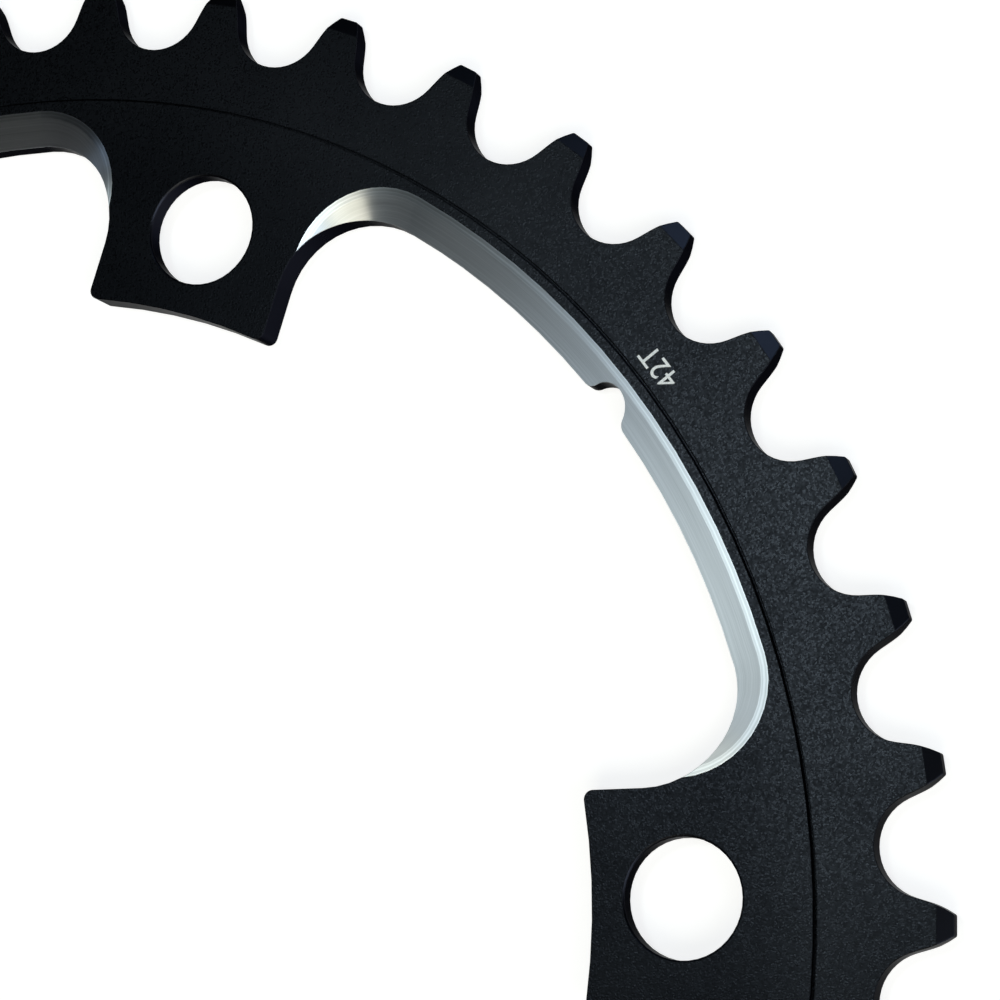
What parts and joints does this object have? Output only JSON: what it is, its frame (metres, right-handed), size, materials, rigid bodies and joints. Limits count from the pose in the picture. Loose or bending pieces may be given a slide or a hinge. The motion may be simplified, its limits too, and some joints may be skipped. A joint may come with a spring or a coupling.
{
  "type": "bicycle chainring",
  "caption": "Flat toothed ring for a bicycle crank, with inward bolt tabs, a thicker web and a bright bevel along its inner edge.",
  "frame": {"origin": "centre of the ring and of the bolt circle, on the back face of the web and tabs, which is what it lies on", "axes": "+Z along the ring's axis, out of the front face; +X through the centre of the first bolt tab"},
  "size_m": [0.175, 0.1748, 0.003],
  "materials": {
    "anodised_plate": "bead-blasted and black anodised, with the bevel along the inner edge machined bare"
  },
  "bodies": {
    "root": {"chainring": "anodised_plate"}
  },
  "joints": []
}
